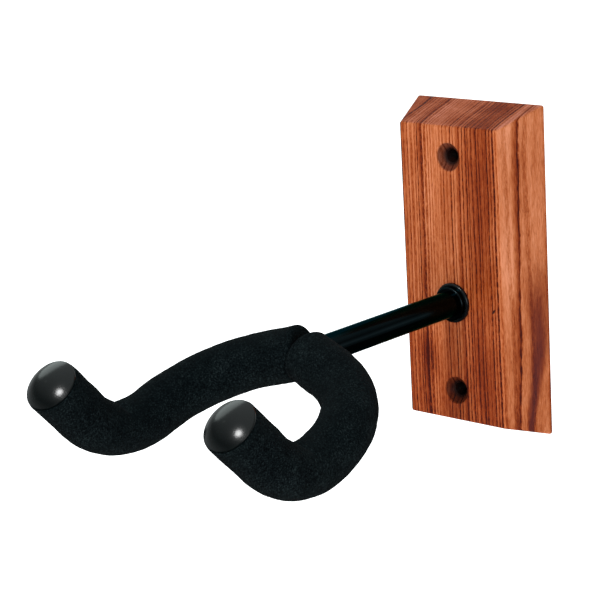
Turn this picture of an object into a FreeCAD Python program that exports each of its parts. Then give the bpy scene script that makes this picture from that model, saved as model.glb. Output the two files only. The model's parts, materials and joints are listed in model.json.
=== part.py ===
import FreeCAD, Part
import math
import os

import Sketcher

# Wall hanger for a guitar: a bevelled hardwood block is screwed to the wall, and a
# padded steel yoke stands out from it on a shaft that turns in the block.
#
# Frame (millimetres): the wall is the plane y = 0 and the hanger stands out towards -Y.
# X is to the right as seen from the front, Z is up. The origin is the centre of the
# block's back face. Lengths called "reach" are distances from the wall, along -Y.

DIMENSIONS = {
    # hardwood block
    "block_height": 120.0,
    "block_width": 56.0,
    "block_depth": 20.0,
    "front_height": 107.0,
    "front_width": 42.4,
    "block_round": 1.0,
    "screw_spacing": 85.0,
    "screw_hole_dia": 5.0,
    "countersink_dia": 10.4,
    "countersink_angle": 90.0,
    # pivot: shaft, bushes and the hardware in the recess behind the block
    "pivot_drop": 10.0,
    "shaft_dia": 9.5,
    "running_clearance": 0.05,
    "bush_dia": 12.0,
    "bush_gap": 0.2,
    "front_flange_dia": 14.4,
    "flange_depth": 1.2,
    "flange_round": 0.6,
    "rear_flange_dia": 17.0,
    "recess_dia": 22.0,
    "recess_depth": 12.0,
    "collar_dia": 12.4,
    "collar_depth": 1.7,
    "spigot_dia": 8.0,
    "spigot_reach": 0.7,
    "spigot_chamfer": 0.8,
    "spring_outer_dia": 16.0,
    "spring_inner_dia": 8.2,
    "spring_thickness": 0.9,
    "spring_height": 1.25,
    "washer_dia": 16.0,
    "washer_hole_dia": 8.4,
    "washer_thickness": 1.6,
    "nut_flats": 13.0,
    "nut_height": 6.7,
    "nut_hex_height": 4.6,
    "nut_chamfer": 0.8,
    "crown_dia": 11.8,
    "crown_lip": 0.4,
    "insert_dia": 10.2,
    "insert_height": 1.5,
    # bent yoke rod: corner points of its centre line and the bend radius at each
    "rod_dia": 8.0,
    "yoke_reach": 101.0,
    "yoke_height": -8.2,
    "yoke_bend": 9.0,
    "shoulder_x": 36.4,
    "shoulder_reach": 109.3,
    "shoulder_height": -18.0,
    "shoulder_bend": 35.0,
    "elbow_x": 40.0,
    "elbow_reach": 151.0,
    "elbow_height": -32.5,
    "elbow_bend": 29.0,
    "tip_x": 38.8,
    "tip_reach": 176.0,
    "tip_height": -6.4,
    "weld_leg": 2.4,
    "weld_length": 5.5,
    # foam sleeves and end caps
    "foam_dia": 18.4,
    "foam_start_left": -1.0,
    "foam_start_right": 2.9,
    "foam_joint_gap": 0.05,
    "cap_dia": 18.0,
    "cap_rim": 0.6,
    "cap_dome": 2.6,
    "cap_edge_round": 0.5,
    "hub_dia": 12.0,
    "hub_length": 9.0,
    "socket_depth": 1.2,
    "rod_end_gap": 0.2,
}

SIDES = {"left": -1.0, "right": 1.0}
MIN_VOLUME = 1.0
SAME_LENGTH = 1e-6


class Dim:
    """A length that is known as a number and as the sheet expression that drives it."""

    def __init__(self, value, text):
        self.value = value
        self.text = text

    def __add__(self, other):
        return Dim(self.value + other.value, f"({self.text} + {other.text})")

    def __sub__(self, other):
        return Dim(self.value - other.value, f"({self.text} - {other.text})")

    def half(self):
        return Dim(self.value / 2.0, f"({self.text} / 2)")


ZERO = Dim(0.0, "0")


def dim(alias):
    return Dim(DIMENSIONS[alias], f"Dimensions.{alias}")


def number(alias):
    return DIMENSIONS[alias]


def fill_sheet(doc):
    sheet = doc.addObject("Spreadsheet::Sheet", "Dimensions")
    for row, (alias, value) in enumerate(DIMENSIONS.items(), start=1):
        sheet.set(f"A{row}", alias)
        sheet.set(f"B{row}", str(value))
        sheet.setAlias(f"B{row}", alias)
    doc.recompute()


# ---------------------------------------------------------------- sketch helpers

def new_body(doc, label):
    body = doc.addObject("PartDesign::Body", label)
    body.Label = label
    return body


def origin_plane(body, role):
    return [item for item in body.Origin.OriginFeatures if item.Role == role][0]


def new_sketch(body, name, role):
    sketch = body.newObject("Sketcher::SketchObject", name)
    sketch.AttachmentSupport = [(origin_plane(body, role), "")]
    sketch.MapMode = "FlatFace"
    return sketch


def drive(sketch, constraint, length):
    """Add a dimensional constraint and bind it to the sheet."""
    index = sketch.addConstraint(constraint)
    sketch.setExpression(f"Constraints[{index}]", length.text)


def pin_point(sketch, geometry, end, across, up):
    """Fix one end of a line at (across, up) from the sketch's origin."""
    drive(sketch, Sketcher.Constraint("DistanceX", -1, 1, geometry, end, across.value), across)
    drive(sketch, Sketcher.Constraint("DistanceY", -1, 1, geometry, end, up.value), up)


def closed_outline(sketch, corners):
    """Draw a closed polygon whose corners are bound to the sheet."""
    points = [FreeCAD.Vector(across.value, up.value, 0) for across, up in corners]
    count = len(points)
    for start in range(count):
        sketch.addGeometry(Part.LineSegment(points[start], points[(start + 1) % count]))
    for start in range(count):
        after = (start + 1) % count
        sketch.addConstraint(Sketcher.Constraint("Coincident", start, 2, after, 1))
    for start, (across, up) in enumerate(corners):
        pin_point(sketch, start, 1, across, up)


def centred_rectangle(sketch, width, height):
    """A rectangle about the sketch's origin, driven by its two sizes."""
    right = width.value / 2.0
    top = height.value / 2.0
    corners = [(-right, -top), (right, -top), (right, top), (-right, top)]
    points = [FreeCAD.Vector(across, up, 0) for across, up in corners]
    for start in range(len(points)):
        sketch.addGeometry(Part.LineSegment(points[start], points[(start + 1) % len(points)]))
    for start in range(len(points)):
        after = (start + 1) % len(points)
        sketch.addConstraint(Sketcher.Constraint("Coincident", start, 2, after, 1))
    for horizontal in (0, 2):
        sketch.addConstraint(Sketcher.Constraint("Horizontal", horizontal))
    for vertical in (1, 3):
        sketch.addConstraint(Sketcher.Constraint("Vertical", vertical))
    sketch.addConstraint(Sketcher.Constraint("Symmetric", 0, 1, 2, 1, -1, 1))
    drive(sketch, Sketcher.Constraint("DistanceX", 0, 1, 0, 2, width.value), width)
    drive(sketch, Sketcher.Constraint("DistanceY", 1, 1, 1, 2, height.value), height)


def add_circle(sketch, diameter, up):
    """A circle on the sketch's vertical axis, at a height bound to the sheet."""
    centre = FreeCAD.Vector(0, up.value, 0)
    circle = sketch.addGeometry(Part.Circle(centre, FreeCAD.Vector(0, 0, 1), diameter.value / 2.0))
    drive(sketch, Sketcher.Constraint("Diameter", circle, diameter.value), diameter)
    sketch.addConstraint(Sketcher.Constraint("PointOnObject", circle, 3, -2))
    drive(sketch, Sketcher.Constraint("DistanceY", -1, 1, circle, 3, up.value), up)


def on_pivot(body):
    """Place a body drawn along X so that X runs out from the wall on the pivot's axis."""
    body.Placement = FreeCAD.Placement(
        FreeCAD.Vector(0, 0, -number("pivot_drop")),
        FreeCAD.Rotation(FreeCAD.Vector(0, 0, 1), -90),
    )
    body.setExpression("Placement.Base.z", "-Dimensions.pivot_drop")


def turn(body, name, outline):
    """Revolve an outline of (distance along X, radius) corners about the X axis."""
    sketch = new_sketch(body, name + "_profile", "XY_Plane")
    closed_outline(sketch, outline)
    revolution = body.newObject("PartDesign::Revolution", name + "_turning")
    revolution.Profile = sketch
    revolution.ReferenceAxis = (sketch, ["H_Axis"])
    revolution.Angle = 360.0
    sketch.Document.recompute()


def turned_on_pivot(doc, label, outline):
    body = new_body(doc, label)
    turn(body, label, outline)
    on_pivot(body)
    return body


def circular_edges(shape, distance, radius):
    """Names of the circles at a distance along X, with a given radius."""
    names = []
    for index, edge in enumerate(shape.Edges, start=1):
        if edge.Degenerated or not isinstance(edge.Curve, Part.Circle):
            continue
        same_place = abs(edge.Curve.Center.x - distance) < SAME_LENGTH
        if same_place and abs(edge.Curve.Radius - radius) < SAME_LENGTH:
            names.append(f"Edge{index}")
    return names


def round_edges(body, name, edges, radius):
    before = body.Tip
    fillet = body.newObject("PartDesign::Fillet", name)
    fillet.Base = (before, edges)
    fillet.setExpression("Radius", radius.text)
    body.Document.recompute()


# ---------------------------------------------------------------- block

def make_wood_block(doc):
    """Hardwood block with four bevelled sides, two screw holes and the pivot's bore."""
    body = new_body(doc, "wood_block")
    back = new_sketch(body, "block_back", "XZ_Plane")
    centred_rectangle(back, dim("block_width"), dim("block_height"))
    front = front_sketch(body, "block_front")
    centred_rectangle(front, dim("front_width"), dim("front_height"))
    loft = body.newObject("PartDesign::AdditiveLoft", "block_bevels")
    loft.Profile = back
    loft.Sections = [front]
    loft.Ruled = True
    doc.recompute()
    every_edge = [f"Edge{index}" for index in range(1, len(loft.Shape.Edges) + 1)]
    round_edges(body, "block_rounds", every_edge, dim("block_round"))
    drill_screw_holes(body)
    bore_for_pivot(body)
    return body


def front_sketch(body, name):
    sketch = new_sketch(body, name, "XZ_Plane")
    sketch.AttachmentOffset.Base = FreeCAD.Vector(0, 0, number("block_depth"))
    sketch.setExpression("AttachmentOffset.Base.z", "Dimensions.block_depth")
    return sketch


def drill_screw_holes(body):
    sketch = front_sketch(body, "screw_centres")
    add_circle(sketch, dim("screw_hole_dia"), dim("screw_spacing").half())
    add_circle(sketch, dim("screw_hole_dia"), ZERO - dim("screw_spacing").half())
    body.Document.recompute()
    hole = body.newObject("PartDesign::Hole", "screw_holes")
    hole.Profile = sketch
    hole.DepthType = "ThroughAll"
    hole.setExpression("Diameter", "Dimensions.screw_hole_dia")
    hole.HoleCutType = "Countersink"
    hole.HoleCutCustomValues = True
    hole.setExpression("HoleCutDiameter", "Dimensions.countersink_dia")
    hole.setExpression("HoleCutCountersinkAngle", "Dimensions.countersink_angle")
    body.Document.recompute()


def bore_for_pivot(body):
    """Bore for the two bushes, right through, and the recess behind for the nut."""
    cuts = (
        ("bush_bore", dim("bush_dia"), None),
        ("nut_recess", dim("recess_dia"), dim("recess_depth")),
    )
    for name, diameter, depth in cuts:
        sketch = new_sketch(body, name + "_circle", "XZ_Plane")
        add_circle(sketch, diameter, ZERO - dim("pivot_drop"))
        before = body.Shape.Volume
        pocket = body.newObject("PartDesign::Pocket", name)
        pocket.Profile = sketch
        pocket.Reversed = True
        if depth is None:
            pocket.Type = "ThroughAll"
        else:
            pocket.setExpression("Length", depth.text)
        body.Document.recompute()
        if before - body.Shape.Volume < MIN_VOLUME:
            raise RuntimeError(name + " cuts nothing")


# ---------------------------------------------------------------- pivot

def web_front():
    return dim("block_depth")


def web_back():
    return dim("recess_depth")


def web_middle():
    return (web_front() + web_back()).half()


def bush_bore_radius():
    return dim("shaft_dia").half() + dim("running_clearance")


def make_front_bush(doc):
    """Flanged plastic bush pushed in from the front of the block."""
    bore = bush_bore_radius()
    inner_end = web_middle() + dim("bush_gap").half()
    outer_end = web_front() + dim("flange_depth")
    body = turned_on_pivot(doc, "front_bush", [
        (inner_end, bore),
        (outer_end, bore),
        (outer_end, dim("front_flange_dia").half()),
        (web_front(), dim("front_flange_dia").half()),
        (web_front(), dim("bush_dia").half()),
        (inner_end, dim("bush_dia").half()),
    ])
    rim = circular_edges(body.Tip.Shape, outer_end.value, number("front_flange_dia") / 2.0)
    round_edges(body, "front_bush_round", rim, dim("flange_round"))
    return body


def rear_flange_face():
    return web_back() - dim("flange_depth")


def make_rear_bush(doc):
    """Flanged plastic bush pushed in from the recess behind."""
    bore = bush_bore_radius()
    inner_end = web_middle() - dim("bush_gap").half()
    return turned_on_pivot(doc, "rear_bush", [
        (rear_flange_face(), bore),
        (inner_end, bore),
        (inner_end, dim("bush_dia").half()),
        (web_back(), dim("bush_dia").half()),
        (web_back(), dim("rear_flange_dia").half()),
        (rear_flange_face(), dim("rear_flange_dia").half()),
    ])


def shoulder_face():
    """Where the shaft steps down to its threaded spigot."""
    return rear_flange_face() - dim("running_clearance")


def make_thrust_collar(doc):
    """Ring pressed on the shaft, which bears on the front bush's flange."""
    back = web_front() + dim("flange_depth") + dim("running_clearance")
    front = back + dim("collar_depth")
    body = turned_on_pivot(doc, "thrust_collar", [
        (back, dim("shaft_dia").half()),
        (front, dim("shaft_dia").half()),
        (front, dim("collar_dia").half()),
        (back, dim("collar_dia").half()),
    ])
    rim = circular_edges(body.Tip.Shape, front.value, number("collar_dia") / 2.0)
    round_edges(body, "thrust_collar_round", rim, dim("flange_round"))
    return body


def make_shaft(doc, yoke_rod):
    """Steel shaft: a threaded spigot at the wall end, and coped to fit the yoke rod."""
    radius = dim("shaft_dia").half()
    spigot = dim("spigot_dia").half()
    end = dim("spigot_reach")
    bar = turned_on_pivot(doc, "shaft_bar", [
        (end, ZERO),
        (end, spigot - dim("spigot_chamfer")),
        (end + dim("spigot_chamfer"), spigot),
        (shoulder_face(), spigot),
        (shoulder_face(), radius),
        (dim("yoke_reach"), radius),
        (dim("yoke_reach"), ZERO),
    ])
    return cut(doc, "shaft", bar, yoke_rod)


def make_disc_spring(doc):
    """Coned spring washer: its outer rim presses on the bush, its inner rim on the washer."""
    base = shoulder_face()
    top = base - dim("spring_height")
    return turned_on_pivot(doc, "disc_spring", [
        (base, dim("spring_outer_dia").half()),
        (base - dim("spring_thickness"), dim("spring_outer_dia").half()),
        (top, dim("spring_inner_dia").half()),
        (top + dim("spring_thickness"), dim("spring_inner_dia").half()),
    ])


def washer_back():
    return shoulder_face() - dim("spring_height") - dim("washer_thickness")


def make_flat_washer(doc):
    back = washer_back()
    front = back + dim("washer_thickness")
    return turned_on_pivot(doc, "flat_washer", [
        (back, dim("washer_hole_dia").half()),
        (front, dim("washer_hole_dia").half()),
        (front, dim("washer_dia").half()),
        (back, dim("washer_dia").half()),
    ])


def nut_back():
    return washer_back() - dim("nut_height")


def insert_front():
    return nut_back() + dim("crown_lip") + dim("insert_height")


def make_lock_nut(doc):
    """Hexagon nut with a crown that holds the nylon ring."""
    bore = dim("spigot_dia").half()
    crown = dim("crown_dia").half()
    pocket = dim("insert_dia").half()
    lip = dim("crown_lip")
    front = washer_back()
    hex_back = front - dim("nut_hex_height")
    corner = Dim(number("nut_flats") / math.sqrt(3.0), "(Dimensions.nut_flats / sqrt(3))")
    chamfer = dim("nut_chamfer")
    blank = turned_on_pivot(doc, "nut_blank", [
        (front, bore),
        (insert_front(), bore),
        (insert_front(), pocket),
        (nut_back() + lip, pocket),
        (nut_back() + lip, pocket - lip),
        (nut_back(), pocket - lip),
        (nut_back(), crown - lip),
        (nut_back() + lip, crown),
        (hex_back, crown),
        (hex_back, corner - chamfer),
        (hex_back + chamfer.half(), corner),
        (front - chamfer.half(), corner),
        (front, corner - chamfer),
    ])
    hexagon = doc.addObject("Part::Prism", "nut_hexagon")
    hexagon.Polygon = 6
    hexagon.setExpression("Circumradius", corner.text)
    hexagon.setExpression("Height", "Dimensions.nut_height")
    hexagon.Placement = FreeCAD.Placement(
        FreeCAD.Vector(0, -nut_back().value, -number("pivot_drop")),
        FreeCAD.Rotation(FreeCAD.Vector(1, 0, 0), 90),
    )
    nut = doc.addObject("Part::Common", "lock_nut")
    nut.Base = blank
    nut.Tool = hexagon
    nut.Label = "lock_nut"
    doc.recompute()
    return nut


def make_lock_nut_insert(doc):
    """Nylon ring that grips the thread."""
    back = nut_back() + dim("crown_lip")
    return turned_on_pivot(doc, "lock_nut_insert", [
        (back, dim("spigot_dia").half()),
        (insert_front(), dim("spigot_dia").half()),
        (insert_front(), dim("insert_dia").half()),
        (back, dim("insert_dia").half()),
    ])


# ---------------------------------------------------------------- yoke

def cut(doc, label, base, *tools):
    """One piece less the pieces that it fits round."""
    tool = tools[0]
    if len(tools) > 1:
        tool = doc.addObject("Part::MultiFuse", label + "_tools")
        tool.Shapes = list(tools)
    piece = doc.addObject("Part::Cut", label)
    piece.Base = base
    piece.Tool = tool
    piece.Label = label
    doc.recompute()
    return piece


def arm_corner(name, side):
    return FreeCAD.Vector(
        side * number(name + "_x"),
        -number(name + "_reach"),
        number(name + "_height"),
    )


def yoke_centre():
    return FreeCAD.Vector(0, -number("yoke_reach"), number("yoke_height"))


def unit(vector):
    return FreeCAD.Vector(vector).normalize()


def tip_direction(side):
    return unit(arm_corner("tip", side) - arm_corner("elbow", side))


def bend_ends(before, corner, after, radius):
    """Where a tangent arc of a given radius begins and ends, and its centre."""
    back = unit(before - corner)
    ahead = unit(after - corner)
    half_angle = back.getAngle(ahead) / 2.0
    tangent = radius / math.tan(half_angle)
    centre = corner + unit(back + ahead) * (radius / math.sin(half_angle))
    return corner + back * tangent, centre, corner + ahead * tangent


def add_run(doc, name, start, end, diameter):
    """Straight stretch of a round bar."""
    run = doc.addObject("Part::Cylinder", name)
    run.setExpression("Radius", diameter.half().text)
    run.Height = start.distanceToPoint(end)
    turn_to = FreeCAD.Rotation(FreeCAD.Vector(0, 0, 1), end - start)
    run.Placement = FreeCAD.Placement(start, turn_to)
    return run


def add_bend(doc, name, start, centre, end, travel, bend_radius, diameter):
    """Bent stretch of a round bar: part of a torus, which begins along travel."""
    outward = unit(start - centre)
    axis = unit(outward.cross(travel))
    elbow = doc.addObject("Part::Torus", name)
    elbow.setExpression("Radius1", bend_radius.text)
    elbow.setExpression("Radius2", diameter.half().text)
    elbow.Angle1 = -180.0
    elbow.Angle2 = 180.0
    elbow.Angle3 = math.degrees((start - centre).getAngle(end - centre))
    frame = FreeCAD.Rotation(outward, axis.cross(outward), axis, "ZXY")
    elbow.Placement = FreeCAD.Placement(centre, frame)
    return elbow


def round_bar(doc, name, points, bends, diameter):
    """A round bar along straight runs, joined by a tangent bend at each inner point."""
    stretches = []
    length = 0.0
    start = points[0]
    for index, bend_radius in enumerate(bends, start=1):
        before, corner, after = points[index - 1:index + 2]
        first, centre, last = bend_ends(before, corner, after, bend_radius.value)
        stretches.append(add_run(doc, f"{name}_run_{index}", start, first, diameter))
        stretches.append(add_bend(doc, f"{name}_bend_{index}", first, centre, last,
                                  corner - before, bend_radius, diameter))
        arc = bend_radius.value * (first - centre).getAngle(last - centre)
        length += start.distanceToPoint(first) + arc
        start = last
    stretches.append(add_run(doc, f"{name}_last_run", start, points[-1], diameter))
    length += start.distanceToPoint(points[-1])
    bar = doc.addObject("Part::MultiFuse", name)
    bar.Shapes = stretches
    bar.Label = name
    doc.recompute()
    check_bar(name, bar.Shape, length, diameter.value)
    return bar


def check_bar(name, shape, length, diameter):
    """A bent bar's volume is its section times its length."""
    expected = length * math.pi * diameter ** 2 / 4.0
    tolerance = 0.001
    if abs(shape.Volume / expected - 1.0) > tolerance:
        raise RuntimeError(f"{name}: volume {shape.Volume:.1f}, expected {expected:.1f}")


def make_yoke_rod(doc):
    """One steel rod, bent symmetrically: out and down, forward, then up at the tips."""
    past_tip = number("socket_depth") - number("rod_end_gap")
    bends = [dim("shoulder_bend"), dim("elbow_bend")]
    half = {}
    for name, side in SIDES.items():
        end = arm_corner("tip", side) + tip_direction(side) * past_tip
        half[name] = [arm_corner("shoulder", side), arm_corner("elbow", side), end]
    points = half["left"][::-1] + [yoke_centre()] + half["right"]
    bends = bends[::-1] + [dim("yoke_bend")] + bends
    return round_bar(doc, "yoke_rod", points, bends, dim("rod_dia"))


def make_yoke_weld(doc, shaft, yoke_rod):
    """Fillet of weld round the end of the shaft, against the back of the rod."""
    bead = doc.addObject("Part::Cone", "weld_bead")
    bead.setExpression("Radius1", "Dimensions.shaft_dia / 2 + Dimensions.weld_leg")
    bead.setExpression("Radius2", "Dimensions.shaft_dia / 2")
    bead.setExpression("Height", "Dimensions.weld_length")
    bead.Placement = FreeCAD.Placement(
        FreeCAD.Vector(0, -number("yoke_reach"), -number("pivot_drop")),
        FreeCAD.Rotation(FreeCAD.Vector(1, 0, 0), -90),
    )
    return cut(doc, "yoke_weld", bead, shaft, yoke_rod)


def make_end_cap(doc, name, side):
    """Domed plastic cap whose hub grips the end of the rod, under the foam."""
    label = "end_cap_" + name
    body = new_body(doc, label)
    turn_head(body, label)
    add_hub(body, label)
    body.Placement = FreeCAD.Placement(
        arm_corner("tip", side),
        FreeCAD.Rotation(FreeCAD.Vector(1, 0, 0), tip_direction(side)),
    )
    doc.recompute()
    return body


def turn_head(body, label):
    """The cap's head: a short straight rim under a shallow spherical dome."""
    sketch = new_sketch(body, label + "_profile", "XY_Plane")
    radius = dim("cap_dia").half()
    rim = dim("cap_rim")
    top = rim + dim("cap_dome")
    sphere = (radius.value ** 2 + number("cap_dome") ** 2) / (2.0 * number("cap_dome"))
    lean = math.asin(radius.value / sphere) / 2.0
    back = FreeCAD.Vector(0, 0, 0)
    crown = FreeCAD.Vector(top.value, 0, 0)
    halfway = crown + FreeCAD.Vector(sphere * (math.cos(lean) - 1.0), sphere * math.sin(lean), 0)
    edge = FreeCAD.Vector(rim.value, radius.value, 0)
    corner = FreeCAD.Vector(0, radius.value, 0)
    sketch.addGeometry(Part.LineSegment(edge, corner))
    sketch.addGeometry(Part.LineSegment(corner, back))
    sketch.addGeometry(Part.LineSegment(back, crown))
    sketch.addGeometry(Part.Arc(crown, halfway, edge))
    sketch.addConstraint(Sketcher.Constraint("Coincident", 0, 2, 1, 1))
    sketch.addConstraint(Sketcher.Constraint("Coincident", 1, 2, 2, 1))
    sketch.addConstraint(Sketcher.Constraint("Coincident", 2, 2, 3, 1))
    sketch.addConstraint(Sketcher.Constraint("Coincident", 3, 2, 0, 1))
    sketch.addConstraint(Sketcher.Constraint("PointOnObject", 3, 3, -1))
    pin_point(sketch, 0, 1, rim, radius)
    pin_point(sketch, 1, 1, ZERO, radius)
    pin_point(sketch, 2, 1, ZERO, ZERO)
    pin_point(sketch, 2, 2, top, ZERO)
    head = body.newObject("PartDesign::Revolution", label + "_head")
    head.Profile = sketch
    head.ReferenceAxis = (sketch, ["H_Axis"])
    head.Angle = 360.0
    body.Document.recompute()
    shoulder = circular_edges(body.Tip.Shape, rim.value, radius.value)
    round_edges(body, label + "_rim_round", shoulder, dim("cap_edge_round"))


def add_hub(body, label):
    """Hub behind the head, and the blind socket for the rod."""
    parts = (
        ("hub", "PartDesign::Pad", dim("hub_dia"), ZERO, dim("hub_length")),
        ("socket", "PartDesign::Pocket", dim("rod_dia"), dim("socket_depth"),
         dim("hub_length") + dim("socket_depth")),
    )
    for name, kind, diameter, start, length in parts:
        sketch = new_sketch(body, f"{label}_{name}_circle", "YZ_Plane")
        sketch.AttachmentOffset.Base = FreeCAD.Vector(0, 0, start.value)
        sketch.setExpression("AttachmentOffset.Base.z", start.text)
        add_circle(sketch, diameter, ZERO)
        before = body.Shape.Volume
        feature = body.newObject(kind, f"{label}_{name}")
        feature.Profile = sketch
        feature.Reversed = kind == "PartDesign::Pad"
        feature.setExpression("Length", length.text)
        body.Document.recompute()
        if abs(before - body.Shape.Volume) < MIN_VOLUME:
            raise RuntimeError(f"{label}_{name} changes nothing")


def leg_direction(side):
    """Direction of an arm's first run, away from the shaft."""
    return unit(arm_corner("shoulder", side) - yoke_centre())


def make_foam_bar(doc, name):
    """One arm's foam before it is cut round its neighbours. A start below zero lies past the shaft's middle."""
    side = SIDES[name]
    start = yoke_centre() + leg_direction(side) * number("foam_start_" + name)
    points = [start, arm_corner("shoulder", side), arm_corner("elbow", side), arm_corner("tip", side)]
    bends = [dim("shoulder_bend"), dim("elbow_bend")]
    return round_bar(doc, "foam_" + name, points, bends, dim("foam_dia"))


def make_foam_stop(doc):
    """Room that the right sleeve takes up in front of the left one, whose end is pressed flat against it."""
    stop = doc.addObject("Part::Cylinder", "foam_stop")
    stop.setExpression("Radius", "Dimensions.foam_dia")
    stop.setExpression("Height", "Dimensions.foam_dia")
    direction = leg_direction(SIDES["right"])
    start = number("foam_start_right") - number("foam_joint_gap")
    turn_to = FreeCAD.Rotation(FreeCAD.Vector(0, 0, 1), direction)
    stop.Placement = FreeCAD.Placement(yoke_centre() + direction * start, turn_to)
    return stop


def make_foam_sleeve(doc, name, *neighbours):
    """Foam tube over one arm, from the shaft to the end cap."""
    return cut(doc, "foam_sleeve_" + name, make_foam_bar(doc, name), *neighbours)


# ---------------------------------------------------------------- whole hanger

def build(doc):
    pieces = [
        make_wood_block(doc),
        make_front_bush(doc),
        make_rear_bush(doc),
    ]
    yoke_rod = make_yoke_rod(doc)
    shaft = make_shaft(doc, yoke_rod)
    weld = make_yoke_weld(doc, shaft, yoke_rod)
    pieces += [
        shaft,
        make_thrust_collar(doc),
        make_disc_spring(doc),
        make_flat_washer(doc),
        make_lock_nut(doc),
        make_lock_nut_insert(doc),
        yoke_rod,
        weld,
    ]
    end_caps = {name: make_end_cap(doc, name, side) for name, side in SIDES.items()}
    metal = [yoke_rod, shaft, weld]
    pieces += [
        end_caps["left"],
        make_foam_sleeve(doc, "left", *metal, end_caps["left"], make_foam_stop(doc)),
        end_caps["right"],
        make_foam_sleeve(doc, "right", *metal, end_caps["right"]),
    ]
    return pieces


def check(doc, pieces):
    """Stop before anything is written if an object failed or a piece isn't a solid."""
    failed = [item.Name for item in doc.Objects
              if "Invalid" in item.State or "Error" in item.State]
    if failed:
        raise RuntimeError("failed: " + ", ".join(failed))
    for piece in pieces:
        shape = piece.Shape
        if shape.isNull() or not shape.isValid() or len(shape.Solids) != 1:
            raise RuntimeError(piece.Label + " isn't one valid solid")


def main():
    doc = FreeCAD.newDocument("wall_guitar_hanger")
    fill_sheet(doc)
    pieces = build(doc)
    doc.recompute()
    check(doc, pieces)
    os.makedirs("parts", exist_ok=True)
    for piece in pieces:
        piece.Shape.exportStep(f"parts/{piece.Label}.step")
        print(f"{piece.Label}: {piece.Shape.Volume:.1f} mm3")


main()
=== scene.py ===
"""Wall guitar hanger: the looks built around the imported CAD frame.

Metres, in the CAD frame: Z is up, and +Y goes into the wall. Names that end in _MM are in
millimetres.
"""

import json
import math

import bpy
from mathutils import Matrix, Vector, noise


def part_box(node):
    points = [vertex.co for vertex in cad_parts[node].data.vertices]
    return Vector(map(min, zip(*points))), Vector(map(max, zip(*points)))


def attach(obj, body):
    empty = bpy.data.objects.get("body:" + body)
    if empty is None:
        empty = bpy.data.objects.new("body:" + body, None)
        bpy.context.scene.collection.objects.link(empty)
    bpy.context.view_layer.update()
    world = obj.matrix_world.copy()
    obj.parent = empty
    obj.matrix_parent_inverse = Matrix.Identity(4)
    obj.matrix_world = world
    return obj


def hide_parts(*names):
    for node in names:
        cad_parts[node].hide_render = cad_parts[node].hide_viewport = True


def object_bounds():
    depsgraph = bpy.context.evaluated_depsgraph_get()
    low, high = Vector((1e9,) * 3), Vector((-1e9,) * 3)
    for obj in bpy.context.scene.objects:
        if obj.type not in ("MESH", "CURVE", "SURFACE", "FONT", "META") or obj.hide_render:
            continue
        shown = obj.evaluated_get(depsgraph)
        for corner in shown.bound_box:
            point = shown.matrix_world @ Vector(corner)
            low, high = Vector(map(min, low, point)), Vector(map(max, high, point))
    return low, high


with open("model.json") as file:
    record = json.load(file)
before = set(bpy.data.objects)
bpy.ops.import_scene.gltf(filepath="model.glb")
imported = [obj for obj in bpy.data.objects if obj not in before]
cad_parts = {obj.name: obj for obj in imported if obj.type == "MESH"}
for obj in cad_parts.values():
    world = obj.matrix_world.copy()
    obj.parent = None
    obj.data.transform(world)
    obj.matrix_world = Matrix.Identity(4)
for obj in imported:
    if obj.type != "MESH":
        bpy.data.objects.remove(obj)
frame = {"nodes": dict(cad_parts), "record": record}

MM_PER_METRE = 1000.0

# Camera. The bearing is round the vertical from the front of the block. The offsets put the block
# right of the middle of the picture.
CAMERA_BEARING = math.radians(42.48)
CAMERA_HEIGHT_ANGLE = math.radians(14.45)
CAMERA_ROLL = math.radians(-3.22)
CAMERA_DISTANCE = 0.7798
CAMERA_RIGHT = -0.06715
CAMERA_UP = -0.01319
SENSOR_WIDTH = 36.0
LENS = 129.8
CLIP = (0.01, 100.0)

# Yoke: one side's corner points of the rod's centre line, from the shaft to the seam under the
# end cap.
ROUTE = (
    Vector((0.0, -0.1010, -0.0082)),
    Vector((0.0364, -0.1093, -0.0180)),
    Vector((0.0400, -0.1510, -0.0325)),
    Vector((0.0388, -0.1760, -0.0064)),
)
SHOULDER_BEND = 0.035
ELBOW_BEND = 0.029

# Foam sleeves. A start is a distance along the rod from its middle, and below zero it lies past it.
FOAM_RADIUS = 0.0092
BORE_RADIUS = 0.0040
FOAM_START = {"left": -0.0010, "right": 0.0029}
START_ROUND = {"left": 0.0015, "right": 0.0011}
TIP_ROUND = 0.0005
RING_STEP = 0.00045
RING_POINTS = 128
BORE_STEP = 0.004
ROUND_STEPS = 6
SHAFT_SEAT = 0.0001
JOINT_GAP = 0.00005
ON_AXIS = 1e-6
ROUTE_TOLERANCE = 0.0012

# Foam skin. Pairs are for the shoulder and the elbow. The crease inside a bend has a depth, a reach
# along the rod and a rounded bottom, and the foam round it is squeezed. Outside the bend it is
# stretched. Both fade out at BEND_SPREAD times half the bend's length from its middle. Lumps are
# (height, repeats per metre, shift).
CREASE_DEPTH = (0.0004, 0.0021)
CREASE_REACH = (0.0020, 0.0022)
CREASE_ROUND = 0.0005
SQUEEZE = (0.00020, 0.00045)
STRETCH = 0.00030
BEND_SPREAD = 1.15
LUMPS = (
    (0.00016, 160.0, Vector((0.0, 0.0, 0.0))),
    (0.00007, 520.0, Vector((3.0, 5.0, 7.0))),
    (0.00003, 1500.0, Vector((11.0, 2.0, 9.0))),
)

# The swivel's axis lies this far below the block's centre.
PIVOT_DROP_MM = 10.0

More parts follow.
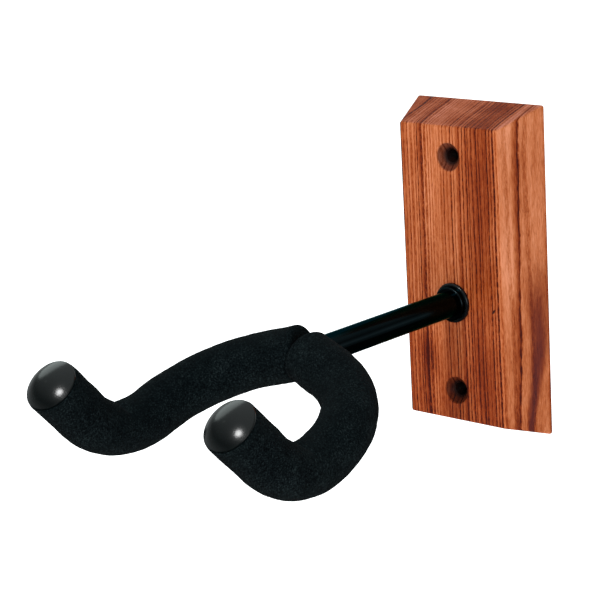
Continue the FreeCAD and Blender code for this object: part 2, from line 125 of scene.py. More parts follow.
# Wood. The ring profile is (share of a ring, darkness), the zones are (across the board, darkness),
# and places on the front are (across, up). The painted shade in a screw hole ends just past its
# countersink.
BOARD_HALF_MM = 30.0
RING_WIDTH_MM = 1.45
RING_PROFILE = (
    (0.0, 0.50), (0.10, 0.08), (0.34, 0.0), (0.56, 0.32), (0.74, 0.95), (0.90, 1.0), (1.0, 0.50),
)
COLOUR_ZONES = (
    (-30.0, 0.50), (-21.5, 0.52), (-19.4, 0.40), (-17.8, 0.16), (-14.4, 0.24), (-12.8, 0.50),
    (-10.8, 0.14), (-5.8, 0.20), (-2.0, 0.30), (3.3, 0.28), (4.6, 0.58), (6.2, 0.26),
    (7.6, 0.50), (11.0, 0.60), (15.5, 0.58), (18.0, 0.42), (19.6, 0.36), (21.4, 0.14),
    (23.0, 0.10), (24.4, 0.26), (26.5, 0.22), (30.0, 0.34),
)
WOOD_COLOURS = (
    (0.0, (0.610, 0.215, 0.105)),
    (0.20, (0.485, 0.145, 0.055)),
    (0.40, (0.355, 0.082, 0.022)),
    (0.62, (0.225, 0.034, 0.005)),
    (0.84, (0.125, 0.013, 0.002)),
    (1.0, (0.045, 0.005, 0.003)),
)
FLAME_COLOUR = (0.085, 0.017, 0.016, 1.0)
SIDE_TINT = (0.92, 1.0, 1.12, 1.0)
END_GRAIN_TINT = (0.88, 0.86, 1.20, 1.0)
# Painted shade for the screw holes: a dark tint on their walls, and near black at the bore.
HOLE_SHADE_TINT = (0.26, 0.22, 0.30, 1.0)
BORE_SHADE_COLOUR = (0.008, 0.004, 0.004, 1.0)
KNOT_COLOUR = (0.016, 0.005, 0.005, 1.0)
HOLE_SHADE_REACH_MM = 5.35
HOLE_SHADE_EDGE_MM = 0.25
KNOT_MM = (17.8, -11.1)
KNOT_TILT = math.radians(-38.0)
DARK_PATCH_MM = (-12.0, -30.0)

# Plastics: (darkest tone, palest tone).
BUSH_COLOURS = ((0.0012, 0.0018, 0.0022), (0.0028, 0.0038, 0.0042))
CAP_COLOURS = ((0.0002, 0.0010, 0.0012), (0.0006, 0.0018, 0.0020))

# Stage. Each softbox is (direction from the hanger, distance, width, height, power, colour).
SOFTBOXES = {
    "key": ((0.0, -0.71, 0.71), 1.15, 0.24, 0.24, 6.4, (1.0, 1.0, 1.0)),
    "fill_right": ((0.86, -0.46, 0.16), 2.2, 1.6, 1.2, 12.0, (0.97, 0.99, 1.0)),
    "rim_left": ((-0.82, 0.24, 0.54), 1.8, 1.3, 1.0, 5.2, (0.88, 1.0, 0.98)),
}
# World strength by height, from straight down at 0 to straight up at 1.
WORLD_BAND = (
    (0.0, 0.03), (0.36, 0.03), (0.46, 0.34), (0.52, 0.75), (0.58, 0.40), (0.66, 0.12), (1.0, 0.03),
)
WORLD_COLOUR = (0.93, 1.0, 1.0, 1.0)
FLOOR_REACH = 30.0
FLOOR_SIDES = 96
FLOOR_DROP = 0.16
FLOOR_GLOW = 0.95


class Graph:
    """One material's nodes, which work in the object's own millimetres."""

    def __init__(self, name):
        self.material = bpy.data.materials.new(name)
        self.material.use_nodes = True
        self.tree = self.material.node_tree
        self.tree.nodes.clear()
        place = self.add("ShaderNodeTexCoord")
        self.mm = self.vector("SCALE", place.outputs["Object"], scale=MM_PER_METRE)

    def add(self, kind, inputs=None, **settings):
        made = self.tree.nodes.new(kind)
        for key, value in settings.items():
            setattr(made, key, value)
        for socket, value in (inputs or {}).items():
            if isinstance(value, bpy.types.NodeSocket):
                self.tree.links.new(value, made.inputs[socket])
            else:
                made.inputs[socket].default_value = value
        return made

    def math(self, operation, *values, clamp=False):
        inputs = dict(enumerate(values))
        made = self.add("ShaderNodeMath", inputs, operation=operation, use_clamp=clamp)
        return made.outputs[0]

    def vector(self, operation, a, b=None, scale=None):
        inputs = {0: a}
        if b is not None:
            inputs[1] = b
        if scale is not None:
            inputs["Scale"] = scale
        return self.add("ShaderNodeVectorMath", inputs, operation=operation).outputs[0]

    def length(self, vector):
        made = self.add("ShaderNodeVectorMath", {0: vector}, operation="LENGTH")
        return made.outputs["Value"]

    def axes(self, vector):
        return self.add("ShaderNodeSeparateXYZ", {0: vector}).outputs

    def point(self, x, y, z):
        return self.add("ShaderNodeCombineXYZ", {0: x, 1: y, 2: z}).outputs[0]

    def noise(self, stretch, detail=2.0, roughness=0.5, shift=0.0, source=None):
        """Noise from 0 to 1. stretch is its repeats per millimetre along each axis."""
        at = self.vector("MULTIPLY_ADD", source or self.mm, stretch)
        at.node.inputs[2].default_value = (shift, shift, shift)
        made = self.add(
            "ShaderNodeTexNoise",
            {"Vector": at, "Scale": 1.0, "Detail": detail, "Roughness": roughness},
            noise_dimensions="3D",
        )
        return made.outputs[0]

    def cells(self, stretch, shift=0.0):
        """Distance to the nearest point of a cell pattern."""
        at = self.vector("MULTIPLY_ADD", self.mm, stretch)
        at.node.inputs[2].default_value = (shift, shift, shift)
        made = self.add(
            "ShaderNodeTexVoronoi",
            {"Vector": at, "Scale": 1.0},
            voronoi_dimensions="3D",
            feature="F1",
        )
        return made.outputs["Distance"]

    def span(self, value, low, high, to_low=0.0, to_high=1.0, smooth=False):
        inputs = {0: value, 1: low, 2: high, 3: to_low, 4: to_high}
        kind = "SMOOTHSTEP" if smooth else "LINEAR"
        return self.add("ShaderNodeMapRange", inputs, interpolation_type=kind).outputs[0]

    def ramp(self, factor, stops):
        """stops are (position, grey or colour)."""
        made = self.add("ShaderNodeValToRGB", {0: factor})
        ramp = made.color_ramp
        while len(ramp.elements) < len(stops):
            ramp.elements.new(1.0)
        for element, (position, value) in zip(ramp.elements, stops):
            element.position = position
            colour = value if isinstance(value, tuple) else (value, value, value)
            element.color = (*colour, 1.0)
        return made.outputs[0]

    def mix(self, factor, a, b, blend="MIX"):
        inputs = {0: factor, 6: a, 7: b}
        made = self.add("ShaderNodeMix", inputs, data_type="RGBA", blend_type=blend)
        return made.outputs[2]

    def bump(self, height, distance_mm, strength=1.0, normal=None):
        inputs = {"Height": height, "Distance": distance_mm / MM_PER_METRE, "Strength": strength}
        if normal is not None:
            inputs["Normal"] = normal
        return self.add("ShaderNodeBump", inputs).outputs[0]

    def finish(self, base, roughness, normal, **constants):
        """constants are the shader's own sockets, which nothing drives."""
        inputs = {"Base Color": base, "Roughness": roughness, "Normal": normal}
        inputs.update({name.replace("_", " "): value for name, value in constants.items()})
        shader = self.add("ShaderNodeBsdfPrincipled", inputs)
        self.add("ShaderNodeOutputMaterial", {"Surface": shader.outputs[0]})
        return self.material


# ---------------------------------------------------------------- materials


def grain(g):
    """Where a point lies across the growth rings, in millimetres. They stand front to back."""
    x = g.axes(g.mm)[0]
    drift = g.math("MULTIPLY_ADD", g.noise((0.030, 0.045, 0.0065)), 3.0, -1.5)
    waver = g.math("MULTIPLY_ADD", g.noise((0.24, 0.10, 0.045), shift=5.0), 0.8, -0.4)
    tremor = g.math("MULTIPLY_ADD", g.noise((0.9, 0.5, 0.22), shift=9.0), 0.24, -0.12)
    return g.math("ADD", g.math("ADD", g.math("ADD", x, drift), waver), tremor)


def growth_rings(g, across):
    """Darkness of the dense wood that closes each ring. Rings differ in width and colour."""
    uneven = g.noise((0.24, 1.0, 1.0), shift=2.0, source=g.point(across, 3.0, 7.0))
    crowded = g.noise((0.62, 1.0, 1.0), shift=6.0, source=g.point(across, 9.0, 2.0))
    turns = g.math("ADD", g.math("DIVIDE", across, RING_WIDTH_MM), g.math("MULTIPLY", uneven, 3.0))
    turns = g.math("MULTIPLY_ADD", crowded, 1.5, turns)
    part = g.math("FRACT", turns)
    number = g.math("FLOOR", turns)
    line = g.ramp(part, RING_PROFILE)
    depth = g.add("ShaderNodeTexWhiteNoise", {"W": number}, noise_dimensions="1D").outputs["Value"]
    breaks = g.noise((1.6, 1.6, 0.55), detail=4.0, roughness=0.7, shift=12.0)
    line = g.math("MULTIPLY", line, g.span(breaks, 0.36, 0.60, 0.30, 1.15))
    return g.math("MULTIPLY", line, g.span(depth, 0.0, 1.0, 0.24, 1.05))


def colour_zones(g, across):
    """Broad light and dark zones across the board, left to right."""
    stops = tuple(((at + BOARD_HALF_MM) / (2.0 * BOARD_HALF_MM), tone) for at, tone in COLOUR_ZONES)
    return g.ramp(g.span(across, -BOARD_HALF_MM, BOARD_HALF_MM), stops)


def side_flame(g, x, z):
    """The dark line up the right bevel, sharp on its back edge, and the flame at its foot."""
    sway = g.math("MULTIPLY_ADD", g.noise((0.10, 0.10, 0.035), shift=27.0), 0.7, -0.35)
    fray = g.math("MULTIPLY_ADD", g.noise((1.1, 1.1, 0.30), detail=3.0, shift=31.0), 0.5, -0.25)
    across = g.math("ADD", g.math("ADD", x, sway), fray)
    gap = g.math("SUBTRACT", across, g.math("MULTIPLY_ADD", z, 0.0058, 23.75))
    shade = g.span(gap, -1.25, -0.05, 0.0, 0.80, smooth=True)
    core = g.span(g.math("ABSOLUTE", gap), 0.05, 0.24, 0.55, 0.0, smooth=True)
    line = g.math("ADD", g.math("MULTIPLY", shade, g.span(gap, 0.0, 0.14, 1.0, 0.0)), core)
    back_edge = g.math("MULTIPLY", g.span(across, 27.3, 27.7), g.span(z, -30.0, 20.0, 0.8, 0.2))
    heart = g.math("MINIMUM", g.math("MULTIPLY_ADD", z, 0.046, 27.45), 26.2)
    half = g.math("MULTIPLY_ADD", z, 0.034, 2.6)
    flame_gap = g.math("DIVIDE", g.math("ABSOLUTE", g.math("SUBTRACT", across, heart)), half)
    flame = g.span(flame_gap, 0.05, 1.0, 1.0, 0.0, smooth=True)
    fade = g.span(z, -32.0, 14.0, 1.0, 0.0, smooth=True)
    return g.math("MAXIMUM", line, back_edge), g.math("MULTIPLY", flame, fade)


def low_shade(g, x, z, depth_mm):
    """The block is darker towards its foot, most on its left, and in a soft patch low on the front.
    """
    low = g.span(z, -50.0, 6.0, 0.26, 0.0, smooth=True)
    low_left = g.math("MULTIPLY", low, g.span(x, -2.0, 8.0, 1.0, 0.4))
    from_patch = g.vector("SUBTRACT", g.mm, (DARK_PATCH_MM[0], -depth_mm, DARK_PATCH_MM[1]))
    patch_at = g.vector("MULTIPLY", from_patch, (0.15, 0.12, 0.085))
    dark_patch = g.span(g.length(patch_at), 0.0, 1.0, 0.17, 0.0, smooth=True)
    return g.math("ADD", low_left, dark_patch)


def shaded_screw_hole(g, colour, y, hole, screw_mm, depth_mm):
    """Painted shade in a screw hole: its walls are darkened, most at the bore, and it fades at both
    faces.
    """
    away = g.vector("SUBTRACT", g.mm, (hole.x * MM_PER_METRE, 0.0, hole.z * MM_PER_METRE))
    flat = g.vector("MULTIPLY", away, (1.0, 0.0, 1.0))
    reach = g.length(flat)
    wall = g.span(reach, HOLE_SHADE_REACH_MM - HOLE_SHADE_EDGE_MM, HOLE_SHADE_REACH_MM, 1.0, 0.0)
    behind_front = g.span(y, -depth_mm + 0.02, -depth_mm + 0.5)
    within = g.math("MULTIPLY", behind_front, g.span(y, -0.6, -0.05, 1.0, 0.0))
    inside = g.math("MULTIPLY", wall, within)
    # Painted shade: a dark tint on the walls, then near black at the bore.
    colour = g.mix(g.math("MULTIPLY", inside, 0.9), colour, HOLE_SHADE_TINT, "MULTIPLY")
    near_bore = g.span(reach, screw_mm + 0.1, screw_mm + 1.5, 1.0, 0.0, smooth=True)
    bore = g.math("MULTIPLY", near_bore, inside)
    return g.mix(g.math("MULTIPLY", bore, 0.9), colour, BORE_SHADE_COLOUR)


def pin_knot(g, colour, depth_mm):
    """A pin knot near the right edge of the front."""
    knot = g.vector("SUBTRACT", g.mm, (KNOT_MM[0], -depth_mm, KNOT_MM[1]))
    turn = {"Vector": knot, "Angle": KNOT_TILT}
    turned = g.add("ShaderNodeVectorRotate", turn, rotation_type="Y_AXIS").outputs[0]
    shaped = g.vector("MULTIPLY", turned, (2.2, 0.6, 0.8))
    near = g.length(shaped)
    return g.mix(g.span(near, 0.55, 1.15, 0.95, 0.0, smooth=True), colour, KNOT_COLOUR)


def hardwood(screws, screw_mm, depth_mm):
    """Oiled reddish hardwood: fine straight stripes in front, and wide bands on the bevels."""
    g = Graph("oiled_hardwood")
    x, y, z = g.axes(g.mm)[0:3]
    across = grain(g)
    rings = growth_rings(g, across)
    zones = colour_zones(g, across)
    on_side = g.span(g.math("ABSOLUTE", x), 20.6, 22.2, 1.0, 0.30, smooth=True)
    clouds = g.noise((0.16, 0.16, 0.040), detail=4.0, roughness=0.6, shift=14.0)
    clouds = g.math("MULTIPLY_ADD", clouds, 0.62, -0.29)
    fibres = g.noise((2.6, 2.6, 0.26), detail=4.0, roughness=0.72, shift=21.0)
    pores = g.span(g.noise((4.6, 4.6, 0.42), detail=1.0, shift=33.0), 0.62, 0.78)
    stripes = g.math("MULTIPLY", rings, on_side)
    dark = g.math("MULTIPLY_ADD", stripes, 0.78, g.math("MULTIPLY", zones, 0.86))
    dark = g.math("ADD", dark, clouds)
    dark = g.math("MULTIPLY_ADD", g.math("SUBTRACT", fibres, 0.5), 0.85, dark)
    dark = g.math("MULTIPLY_ADD", pores, 0.22, dark)
    dark = g.math("ADD", dark, low_shade(g, x, z, depth_mm))
    right_side = g.span(x, 21.0, 22.4)
    line, flame = (g.math("MULTIPLY", part, right_side) for part in side_flame(g, x, z))
    dark = g.math("MULTIPLY_ADD", line, 0.50, dark)
    dark = g.math("MULTIPLY_ADD", flame, 0.50, dark)
    colour = g.ramp(dark, WOOD_COLOURS)
    colour = g.mix(g.math("MULTIPLY", flame, 0.58), colour, FLAME_COLOUR)
    colour = g.mix(g.math("MULTIPLY", right_side, 0.55), colour, SIDE_TINT, "MULTIPLY")

    # End grain drinks more oil, so faces that cut across the fibres are darker and less orange.
    facing = g.math("ABSOLUTE", g.axes(g.add("ShaderNodeNewGeometry").outputs["Normal"])[2])
    end_grain = g.span(facing, 0.45, 0.92, smooth=True)
    colour = g.mix(g.math("MULTIPLY", end_grain, 0.85), colour, END_GRAIN_TINT, "MULTIPLY")
    # Painted shade inside the screw holes.
    for hole in screws:
        colour = shaded_screw_hole(g, colour, y, hole, screw_mm, depth_mm)
    colour = pin_knot(g, colour, depth_mm)

    roughness = g.math("ADD", g.span(dark, 0.0, 1.0, 0.50, 0.38), g.math("MULTIPLY", pores, 0.25))
    relief = g.math("SUBTRACT", g.math("MULTIPLY", rings, -0.6), g.math("MULTIPLY", pores, 0.9))
    relief = g.math("MULTIPLY_ADD", fibres, 0.8, relief)
    normal = g.bump(relief, 0.16, 0.7)
    return g.finish(colour, roughness, normal, Specular_IOR_Level=0.07)


def powder_coat():
    """Gloss black powder coat on steel: a faint orange peel, and a little dust in the gloss.

    It is shaded as a dark metal with a cool edge, which keeps the block's warm reflection out.
    """
    g = Graph("black_powder_coat")
    peel = g.noise((0.85, 0.85, 0.85), detail=2.0)
    grit = g.noise((6.0, 6.0, 6.0), detail=2.0, shift=4.0)
    tone = g.noise((0.07, 0.07, 0.07), detail=3.0, shift=8.0)
    colour = g.ramp(tone, ((0.3, (0.0080, 0.0125, 0.0145)), (0.7, (0.0120, 0.0175, 0.0200))))
    roughness = g.math("MULTIPLY_ADD", grit, 0.08, 0.13)
    normal = g.bump(grit, 0.002, 0.4, g.bump(peel, 0.018, 0.5))
    return g.finish(colour, roughness, normal, Metallic=1.0, Specular_Tint=(0.34, 0.52, 0.56, 1.0))


def glossy_plastic(name, low, high, gloss, wear):
    """Moulded black plastic: slow changes of tone, fine rubbing marks, and a shallow ripple."""
    g = Graph(name)
    tone = g.noise((0.16, 0.16, 0.16), detail=3.0)
    ripple = g.noise((0.35, 0.35, 0.35), detail=1.0, shift=3.0)
    rubs = g.noise((0.5, 5.0, 5.0), detail=3.0, roughness=0.65, shift=6.0)
    colour = g.ramp(tone, ((0.3, low), (0.7, high)))
    roughness = g.math("MULTIPLY_ADD", rubs, wear, gloss)
    normal = g.bump(rubs, 0.0015, 0.25, g.bump(ripple, 0.012, 0.3))
    return g.finish(colour, roughness, normal, Specular_IOR_Level=0.30)


def closed_cell_foam():
    """Matt black closed-cell foam: a skin of fine cells, with a faint blue-green cast."""
    g = Graph("black_foam")
    cells = g.cells((2.6, 2.6, 2.6))
    fine = g.cells((5.2, 5.2, 5.2), shift=11.0)
    grains = g.noise((1.9, 1.9, 1.9), detail=3.0, roughness=0.72, shift=4.0)
    clouds = g.noise((0.14, 0.14, 0.14), detail=3.0, shift=17.0)
    light = g.math("MULTIPLY_ADD", grains, 0.85, g.math("MULTIPLY", clouds, 0.15))
    colour = g.ramp(
        light,
        (
            (0.38, (0.0003, 0.0008, 0.0013)),
            (0.49, (0.0012, 0.0030, 0.0038)),
            (0.57, (0.0040, 0.0072, 0.0082)),
            (0.68, (0.0150, 0.0225, 0.0235)),
        ),
    )
    roughness = g.span(grains, 0.3, 0.7, 0.82, 0.96)
    coarse = g.math("ADD", cells, g.math("MULTIPLY", grains, 0.8))
    height = g.math("MULTIPLY_ADD", fine, 0.4, coarse)
    normal = g.bump(height, 0.14, 0.6)
    sheen = {"Sheen_Weight": 0.004, "Sheen_Roughness": 0.5}
    return g.finish(colour, roughness, normal, Specular_IOR_Level=0.03, **sheen)


def plated_steel(name, low, high, gloss, wear):
    """Bare or plated steel: turning marks round the pivot, and a clouded plate."""
    g = Graph(name)
    x, y, z = g.axes(g.mm)[0:3]
    rise = g.math("ADD", z, PIVOT_DROP_MM)
    radius = g.math("SQRT", g.math("ADD", g.math("MULTIPLY", x, x), g.math("MULTIPLY", rise, rise)))
    round_pivot = g.point(g.math("MULTIPLY", radius, 9.0), y, 0.0)
    turning = g.noise((1.0, 1.0, 1.0), detail=2.0, source=round_pivot)
    clouds = g.noise((0.5, 0.5, 0.5), detail=4.0, roughness=0.65, shift=6.0)
    colour = g.ramp(clouds, ((0.3, low), (0.7, high)))
    roughness = g.math("MULTIPLY_ADD", clouds, wear, gloss)
    normal = g.bump(turning, 0.012, 0.4)
    return g.finish(colour, roughness, normal, Metallic=1.0)


def nylon():
    """Natural nylon: milky, with a faint moulded texture."""
    g = Graph("natural_nylon")
    milk = g.noise((0.8, 0.8, 0.8), detail=3.0)
    texture = g.noise((4.0, 4.0, 4.0), detail=2.0, shift=5.0)
    colour = g.ramp(milk, ((0.3, (0.62, 0.66, 0.68)), (0.7, (0.76, 0.79, 0.80))))
    roughness = g.math("MULTIPLY_ADD", texture, 0.2, 0.35)
    normal = g.bump(texture, 0.01, 0.4)
    return g.finish(colour, roughness, normal, Subsurface_Weight=0.15, Subsurface_Scale=0.001)


def weld_bead():
    """Coated weld metal: ripples of the bead under the black coat."""
    g = Graph("coated_weld")
    ripples = g.noise((0.9, 1.8, 1.8), detail=2.0, roughness=0.6)
    grit = g.noise((5.0, 5.0, 5.0), detail=2.0, shift=4.0)
    colour = g.ramp(grit, ((0.3, (0.0015, 0.0022, 0.0027)), (0.7, (0.0035, 0.0048, 0.0054))))
    roughness = g.math("MULTIPLY_ADD", grit, 0.2, 0.22)
    normal = g.bump(ripples, 0.25, 0.8)
    return g.finish(colour, roughness, normal, Specular_IOR_Level=0.14)


def floor_paper():
    """Matt white paper, with a faint tooth."""
    g = Graph("pale_floor")
    tooth = g.noise((0.05, 0.05, 0.05), detail=4.0)
    colour = g.ramp(tooth, ((0.2, (0.87, 0.87, 0.87)), (0.8, (0.90, 0.90, 0.90))))
    normal = g.bump(tooth, 0.3, 0.2)
    return g.finish(
        colour,
        0.95,
        normal,
        Specular_IOR_Level=0.0,
        Emission_Color=(1.0, 1.0, 1.0, 1.0),
        Emission_Strength=FLOOR_GLOW,
    )


def finish_cad_nodes(nodes, screws, screw_mm, block_depth):
    """Gives each carried-over CAD node its material."""
    wood = hardwood(screws, screw_mm, block_depth * MM_PER_METRE)
    coat = powder_coat()
    bush = glossy_plastic("black_bush_plastic", *BUSH_COLOURS, 0.13, 0.08)
    cap = glossy_plastic("black_cap_plastic", *CAP_COLOURS, 0.16, 0.06)
    zinc = plated_steel("bright_zinc", (0.55, 0.56, 0.58), (0.70, 0.71, 0.72), 0.20, 0.22)
    spring = plated_steel("oiled_spring_steel", (0.20, 0.20, 0.21), (0.34, 0.34, 0.35), 0.26, 0.22)
    materials = {
        "wood_block": wood,
        "front_bush": bush,
        "rear_bush": bush,
        "shaft": coat,
        "thrust_collar": coat,
        "yoke_rod": coat,
        "yoke_weld": weld_bead(),
        "disc_spring": spring,
        "flat_washer": zinc,
        "lock_nut": zinc,
        "lock_nut_insert": nylon(),
        "end_cap_left": cap,
        "end_cap_right": cap,
    }
    for name, material in materials.items():
        mesh = nodes[name].data
        mesh.materials.clear()
        mesh.materials.append(material)


# ---------------------------------------------------------------- foam sleeves


class Route:
    """A centre line of straight runs and round bends, read by the distance along it."""

    def __init__(self, corners, radii):
        self.parts = []
        self.bends = []
        self.length = 0.0
        at = corners[0]
        for before, corner, after, radius in zip(corners, corners[1:], corners[2:], radii):
            into = (corner - before).normalized()
            out = (after - corner).normalized()
            turn = into.angle(out)
            tangent = radius * math.tan(turn / 2.0)
            start = corner - into * tangent
            self._add_run(at, start)
            inward = (out - into).normalized()
            centre = corner + inward * (radius / math.cos(turn / 2.0))
            self.bends.append((self.length + radius * turn / 2.0, radius * turn / 2.0, inward))
            bend = ("bend", self.length, radius * turn, centre, start - centre, into, radius)
            self.parts.append(bend)
            self.length += radius * turn
            at = corner + out * tangent
        self._add_run(at, corners[-1])

    def _add_run(self, start, end):
        size = (end - start).length
        self.parts.append(("run", self.length, size, start, (end - start).normalized()))
        self.length += size

    def at(self, distance):
        """(point, direction) that far along. The first and last runs go on past the ends."""
        part = self.parts[0]
        for candidate in self.parts:
            if distance >= candidate[1]:
                part = candidate
        along = distance - part[1]
        if part[0] == "run":
            return part[3] + part[4] * along, part[4].copy()
        centre, spoke, into, radius = part[3:7]
        angle = along / radius
        point = centre + spoke * math.cos(angle) + into * (radius * math.sin(angle))
        return point, (into * math.cos(angle) - spoke.normalized() * math.sin(angle)).normalized()


def side_route(sign):
    """The rod's centre line on the right for 1, or on the left for -1."""
    side = [Vector((corner.x * sign, corner.y, corner.z)) for corner in ROUTE]
    return Route(side, (SHOULDER_BEND, ELBOW_BEND))


def sleeve_profile(length, start, start_round, end_round):
    """(distance, radius) round the section: up the cut face, along the skin, and back inside."""
    rings = [(start, BORE_RADIUS)]
    for share in (0.25, 0.5, 0.75):
        rings.append((start, BORE_RADIUS + (FOAM_RADIUS - start_round - BORE_RADIUS) * share))
    for step in range(ROUND_STEPS + 1):
        angle = math.pi / 2.0 * step / ROUND_STEPS
        along, drop = 1.0 - math.cos(angle), 1.0 - math.sin(angle)
        rings.append((start + start_round * along, FOAM_RADIUS - start_round * drop))
    first, last = start + start_round, length - end_round
    count = max(2, round((last - first) / RING_STEP))
    for step in range(1, count):
        rings.append((first + (last - first) * step / count, FOAM_RADIUS))
    for step in range(ROUND_STEPS + 1):
        angle = math.pi / 2.0 * step / ROUND_STEPS
        along, drop = math.sin(angle), 1.0 - math.cos(angle)
        rings.append((last + end_round * along, FOAM_RADIUS - end_round * drop))
    for share in (0.75, 0.5, 0.25):
        rings.append((length, BORE_RADIUS + (FOAM_RADIUS - end_round - BORE_RADIUS) * share))
    count = max(2, round((length - start) / BORE_STEP))
    for step in range(count):
        rings.append((length - (length - start) * step / count, BORE_RADIUS))
    return rings


def skin_offset(route, distance, outward, point):
    """How far the skin stands in or out: creases inside the bends, stretch outside, and lumps."""
    offset = 0.0
    for index, (middle, half, inward) in enumerate(route.bends):
        away = distance - middle
        inner = outward.dot(inward)
        window = max(0.0, 1.0 - (away / (half * BEND_SPREAD)) ** 2)
        if inner > 0.0:
            spread = (CREASE_ROUND - math.hypot(away, CREASE_ROUND)) / CREASE_REACH[index]
            offset -= SQUEEZE[index] * window * inner
            offset -= CREASE_DEPTH[index] * math.exp(spread) * inner**3
        else:
            offset -= STRETCH * window * inner
    for height, repeats, shift in LUMPS:
        offset += height * noise.noise(point * repeats + shift)
    return offset


def seat_on_shaft(point, shaft_low, shaft_high):
    """Foam that the shaft would run through is pressed out to its side."""
    axis_x = (shaft_low.x + shaft_high.x) / 2.0
    axis_z = (shaft_low.z + shaft_high.z) / 2.0
    radius = (shaft_high.x - shaft_low.x) / 2.0 + SHAFT_SEAT
    gap = math.hypot(point.x - axis_x, point.z - axis_z)
    if point.y < shaft_low.y or gap >= radius or gap < ON_AXIS:
        return point
    push = radius / gap
    return Vector((axis_x + (point.x - axis_x) * push, point.y, axis_z + (point.z - axis_z) * push))


def press_behind(point, plane_point, plane_normal):
    """Foam past the plane is pressed back to it."""
    past = (point - plane_point).dot(plane_normal)
    return point - plane_normal * past if past > 0.0 else point


def foam_sleeve(side, sign, material):
    """A foam tube pushed over the bent rod: round cut edge at the shaft, square against the cap."""
    route, other = side_route(sign), side_route(-sign)
    # The sleeves meet on the right, so the left one ends at a plane across the right arm.
    stop_point, stop_normal = other.at(max(FOAM_START.values()) - JOINT_GAP)
    shaft_low, shaft_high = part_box("shaft")
    rings = sleeve_profile(route.length, FOAM_START[side], START_ROUND[side], TIP_ROUND)
    points, spoke = [], Vector((0.0, 0.0, 1.0))
    for distance, radius in rings:
        centre, along = route.at(distance)
        spoke = (spoke - along * spoke.dot(along)).normalized()
        across = along.cross(spoke)
        skin = (radius - BORE_RADIUS) / (FOAM_RADIUS - BORE_RADIUS)
        for number in range(RING_POINTS):
            angle = 2.0 * math.pi * number / RING_POINTS
            outward = spoke * math.cos(angle) + across * math.sin(angle)
            point = centre + outward * radius
            if skin > 0.0:
                point += outward * (skin_offset(route, distance, outward, point) * skin)
                point = seat_on_shaft(point, shaft_low, shaft_high)
            points.append(press_behind(point, stop_point, stop_normal))
    count = len(rings)
    faces = []
    for ring in range(count):
        base, beyond = ring * RING_POINTS, (ring + 1) % count * RING_POINTS
        for number in range(RING_POINTS):
            after = (number + 1) % RING_POINTS
            faces.append((base + number, base + after, beyond + after, beyond + number))
    mesh = bpy.data.meshes.new(f"foam_{side}")
    mesh.from_pydata(points, [], faces)
    mesh.update()
    mesh.shade_smooth()
    mesh.materials.append(material)
    sleeve = bpy.data.objects.new(f"foam_{side}", mesh)
    bpy.context.scene.collection.objects.link(sleeve)

    node = f"foam_sleeve_{side}"
    low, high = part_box(node)
    reach = max(abs(low.x), abs(high.x)) - max(abs(point.x) for point in points)
    front = low.y - min(point.y for point in points)
    drop = low.z - min(point.z for point in points)
    if max(abs(reach), abs(front), abs(drop)) > ROUTE_TOLERANCE:
        raise ValueError(f"{node} and its mesh differ by {reach:.4f}, {front:.4f}, {drop:.4f}")
    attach(sleeve, "yoke")
    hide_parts(node)


# ---------------------------------------------------------------- stage


def make_floor(low):
    """A wide pale floor well below the hanger, which hangs on a wall."""
    mesh = bpy.data.meshes.new("floor")
    angles = [2 * math.pi * side / FLOOR_SIDES for side in range(FLOOR_SIDES)]
    rim = [(FLOOR_REACH * math.cos(angle), FLOOR_REACH * math.sin(angle), 0.0) for angle in angles]
    mesh.from_pydata(rim, [], [tuple(range(FLOOR_SIDES))])
    mesh.materials.append(floor_paper())
    floor = bpy.data.objects.new("floor", mesh)
    floor.location = (0.0, 0.0, low.z - FLOOR_DROP)
    floor.visible_glossy = False
    bpy.context.scene.collection.objects.link(floor)


def make_softbox(name, target, direction, distance, width, height, power, colour):
    """An elliptical area light that faces the target."""
    light = bpy.data.lights.new(name, "AREA")
    light.shape = "ELLIPSE"
    light.size = width
    light.size_y = height
    light.energy = power
    light.color = colour
    lamp = bpy.data.objects.new(name, light)
    lamp.location = target + Vector(direction).normalized() * distance
    lamp.rotation_euler = (target - lamp.location).to_track_quat("-Z", "Y").to_euler()
    bpy.context.scene.collection.objects.link(lamp)


def make_lights(middle):
    for name, settings in SOFTBOXES.items():
        make_softbox(name, middle, *settings)


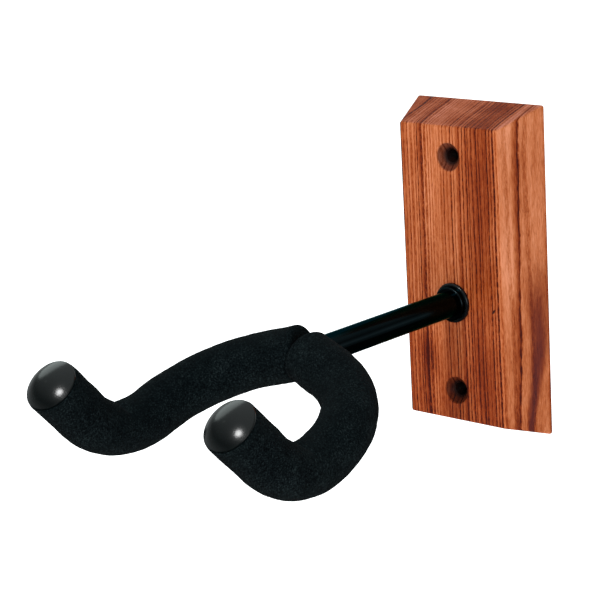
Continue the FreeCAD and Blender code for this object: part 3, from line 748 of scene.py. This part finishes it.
def make_world():
    """A dim studio that is brightest round the horizon."""
    world = bpy.data.worlds.new("studio")
    world.use_nodes = True
    tree = world.node_tree
    background = tree.nodes["Background"]
    background.inputs["Color"].default_value = WORLD_COLOUR
    place = tree.nodes.new("ShaderNodeTexCoord")
    axes = tree.nodes.new("ShaderNodeSeparateXYZ")
    height = tree.nodes.new("ShaderNodeMapRange")
    height.inputs[1].default_value = -1.0
    band = tree.nodes.new("ShaderNodeValToRGB")
    for position, grey in WORLD_BAND:
        stop = band.color_ramp.elements.new(position)
        stop.color = (grey, grey, grey, 1.0)
    # The ramp's own two stops go.
    band.color_ramp.elements.remove(band.color_ramp.elements[0])
    band.color_ramp.elements.remove(band.color_ramp.elements[-1])
    tree.links.new(place.outputs["Generated"], axes.inputs[0])
    tree.links.new(axes.outputs[2], height.inputs[0])
    tree.links.new(height.outputs[0], band.inputs[0])
    tree.links.new(band.outputs[0], background.inputs["Strength"])
    bpy.context.scene.world = world


def make_camera():
    """Stands back from the frame's origin along the bearing, rolled, and slid sideways and up."""
    back = Vector(
        (
            math.sin(CAMERA_BEARING) * math.cos(CAMERA_HEIGHT_ANGLE),
            -math.cos(CAMERA_BEARING) * math.cos(CAMERA_HEIGHT_ANGLE),
            math.sin(CAMERA_HEIGHT_ANGLE),
        )
    )
    level = Vector((math.cos(CAMERA_BEARING), math.sin(CAMERA_BEARING), 0.0))
    rise = back.cross(level)
    right = level * math.cos(CAMERA_ROLL) + rise * math.sin(CAMERA_ROLL)
    up = rise * math.cos(CAMERA_ROLL) - level * math.sin(CAMERA_ROLL)
    data = bpy.data.cameras.new("camera")
    data.sensor_width = SENSOR_WIDTH
    data.lens = LENS
    data.clip_start, data.clip_end = CLIP
    camera = bpy.data.objects.new("camera", data)
    place = back * CAMERA_DISTANCE + right * CAMERA_RIGHT + up * CAMERA_UP
    turn = Matrix((right, up, back)).transposed().to_4x4()
    camera.matrix_world = Matrix.Translation(place) @ turn
    bpy.context.scene.collection.objects.link(camera)
    bpy.context.scene.camera = camera


def corners(box):
    return [list(box[0]), list(box[1])]


cad_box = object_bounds()
block_low, block_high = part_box("wood_block")
mounts = frame["record"]["mounts"]
pattern = next(m for m in mounts if m["kind"] == "bolt_pattern")
half_spacing = pattern["dims"]["spacing_y_mm"] / MM_PER_METRE / 2.0
screws = (Vector((0.0, 0.0, half_spacing)), Vector((0.0, 0.0, -half_spacing)))

finish_cad_nodes(frame["nodes"], screws, pattern["dims"]["hole_r_mm"], block_high.y - block_low.y)
foam = closed_cell_foam()
foam_sleeve("left", -1.0, foam)
foam_sleeve("right", 1.0, foam)

make_floor(cad_box[0])
make_lights((cad_box[0] + cad_box[1]) / 2.0)
make_world()
make_camera()
bpy.context.scene.view_settings.view_transform = "Standard"
